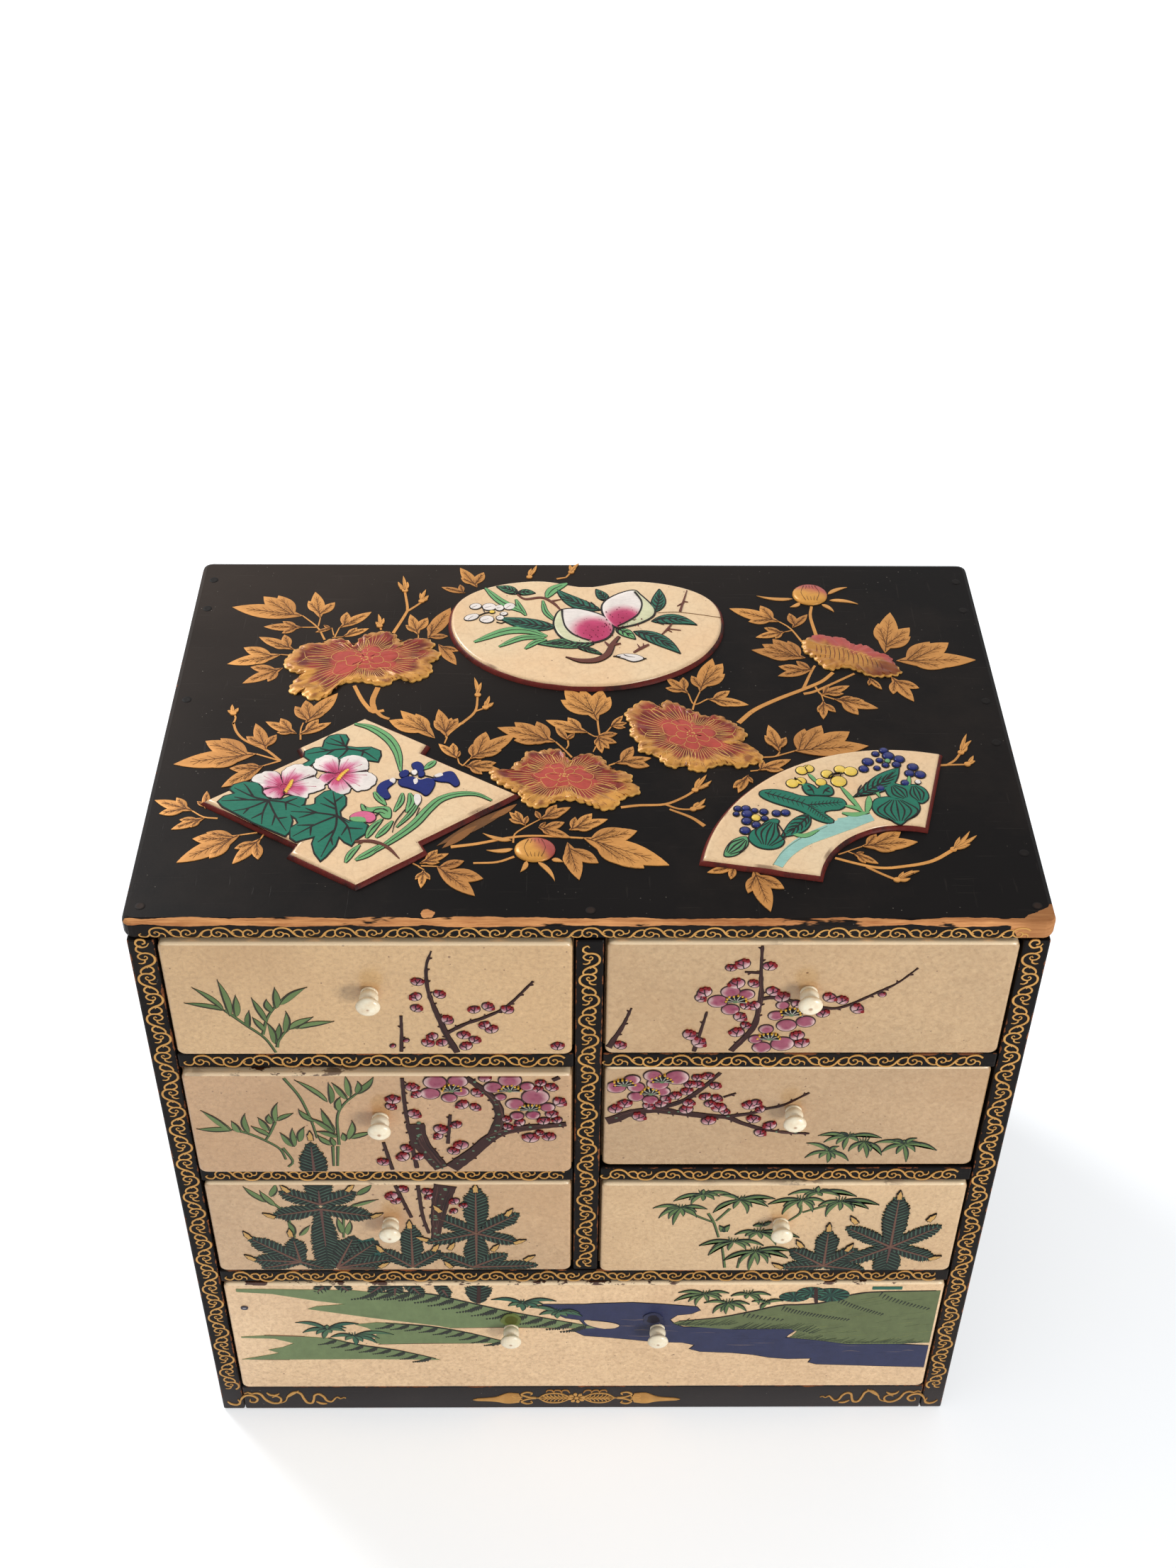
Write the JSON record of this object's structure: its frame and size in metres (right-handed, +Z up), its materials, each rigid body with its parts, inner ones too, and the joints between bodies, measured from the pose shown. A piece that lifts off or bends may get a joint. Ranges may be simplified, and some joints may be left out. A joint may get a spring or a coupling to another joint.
{
  "type": "lacquer table cabinet",
  "caption": "Small black lacquer chest whose cream tile-fronted drawers slide out by turned bone knobs, with shaped tiles let into its top and a flat base to stand on a table.",
  "frame": {"origin": "middle of the overall box, knobs included, at floor level", "axes": "+Z up, front with the drawers towards -Y, +X to the right as seen from the front"},
  "size_m": [0.322, 0.226, 0.3115],
  "materials": {
    "black_lacquer": "satin",
    "drawer_wood": "matte",
    "cream_glaze": "gloss",
    "turned_bone": "satin"
  },
  "bodies": {
    "carcass": {"left_side": "black_lacquer", "right_side": "black_lacquer", "centre_partition": "black_lacquer", "shelf_upper_left": "black_lacquer", "shelf_upper_right": "black_lacquer", "shelf_lower_left": "black_lacquer", "shelf_lower_right": "black_lacquer", "shelf_full": "black_lacquer", "base_rail": "black_lacquer", "bottom_board": "drawer_wood", "back_panel": "black_lacquer", "top_board": "black_lacquer", "peach_plaque": "cream_glaze", "lozenge_plaque": "cream_glaze", "fan_plaque": "cream_glaze"},
    "drawer_upper_left": {"drawer_upper_left_tile": "cream_glaze", "drawer_upper_left_front_board": "drawer_wood", "drawer_upper_left_left_side": "drawer_wood", "drawer_upper_left_right_side": "drawer_wood", "drawer_upper_left_tray": "drawer_wood", "drawer_upper_left_knob": "turned_bone"},
    "drawer_upper_right": {"drawer_upper_right_tile": "cream_glaze", "drawer_upper_right_front_board": "drawer_wood", "drawer_upper_right_left_side": "drawer_wood", "drawer_upper_right_right_side": "drawer_wood", "drawer_upper_right_tray": "drawer_wood", "drawer_upper_right_knob": "turned_bone"},
    "drawer_middle_left": {"drawer_middle_left_tile": "cream_glaze", "drawer_middle_left_front_board": "drawer_wood", "drawer_middle_left_left_side": "drawer_wood", "drawer_middle_left_right_side": "drawer_wood", "drawer_middle_left_tray": "drawer_wood", "drawer_middle_left_knob": "turned_bone"},
    "drawer_middle_right": {"drawer_middle_right_tile": "cream_glaze", "drawer_middle_right_front_board": "drawer_wood", "drawer_middle_right_left_side": "drawer_wood", "drawer_middle_right_right_side": "drawer_wood", "drawer_middle_right_tray": "drawer_wood", "drawer_middle_right_knob": "turned_bone"},
    "drawer_lower_left": {"drawer_lower_left_tile": "cream_glaze", "drawer_lower_left_front_board": "drawer_wood", "drawer_lower_left_left_side": "drawer_wood", "drawer_lower_left_right_side": "drawer_wood", "drawer_lower_left_tray": "drawer_wood", "drawer_lower_left_knob": "turned_bone"},
    "drawer_lower_right": {"drawer_lower_right_tile": "cream_glaze", "drawer_lower_right_front_board": "drawer_wood", "drawer_lower_right_left_side": "drawer_wood", "drawer_lower_right_right_side": "drawer_wood", "drawer_lower_right_tray": "drawer_wood", "drawer_lower_right_knob": "turned_bone"},
    "drawer_bottom": {"drawer_bottom_tile": "cream_glaze", "drawer_bottom_front_board": "drawer_wood", "drawer_bottom_left_side": "drawer_wood", "drawer_bottom_right_side": "drawer_wood", "drawer_bottom_tray": "drawer_wood", "drawer_bottom_left_knob": "turned_bone", "drawer_bottom_right_knob": "turned_bone"}
  },
  "joints": [
    {"name": "drawer_upper_left_slide", "type": "slide", "parent": "carcass", "child": "drawer_upper_left", "axis": [0, -1, 0], "range_m": [0, 0.15]},
    {"name": "drawer_upper_right_slide", "type": "slide", "parent": "carcass", "child": "drawer_upper_right", "axis": [0, -1, 0], "range_m": [0, 0.15]},
    {"name": "drawer_middle_left_slide", "type": "slide", "parent": "carcass", "child": "drawer_middle_left", "axis": [0, -1, 0], "range_m": [0, 0.15]},
    {"name": "drawer_middle_right_slide", "type": "slide", "parent": "carcass", "child": "drawer_middle_right", "axis": [0, -1, 0], "range_m": [0, 0.15]},
    {"name": "drawer_lower_left_slide", "type": "slide", "parent": "carcass", "child": "drawer_lower_left", "axis": [0, -1, 0], "range_m": [0, 0.15]},
    {"name": "drawer_lower_right_slide", "type": "slide", "parent": "carcass", "child": "drawer_lower_right", "axis": [0, -1, 0], "range_m": [0, 0.15]},
    {"name": "drawer_bottom_slide", "type": "slide", "parent": "carcass", "child": "drawer_bottom", "axis": [0, -1, 0], "range_m": [0, 0.15]}
  ]
}
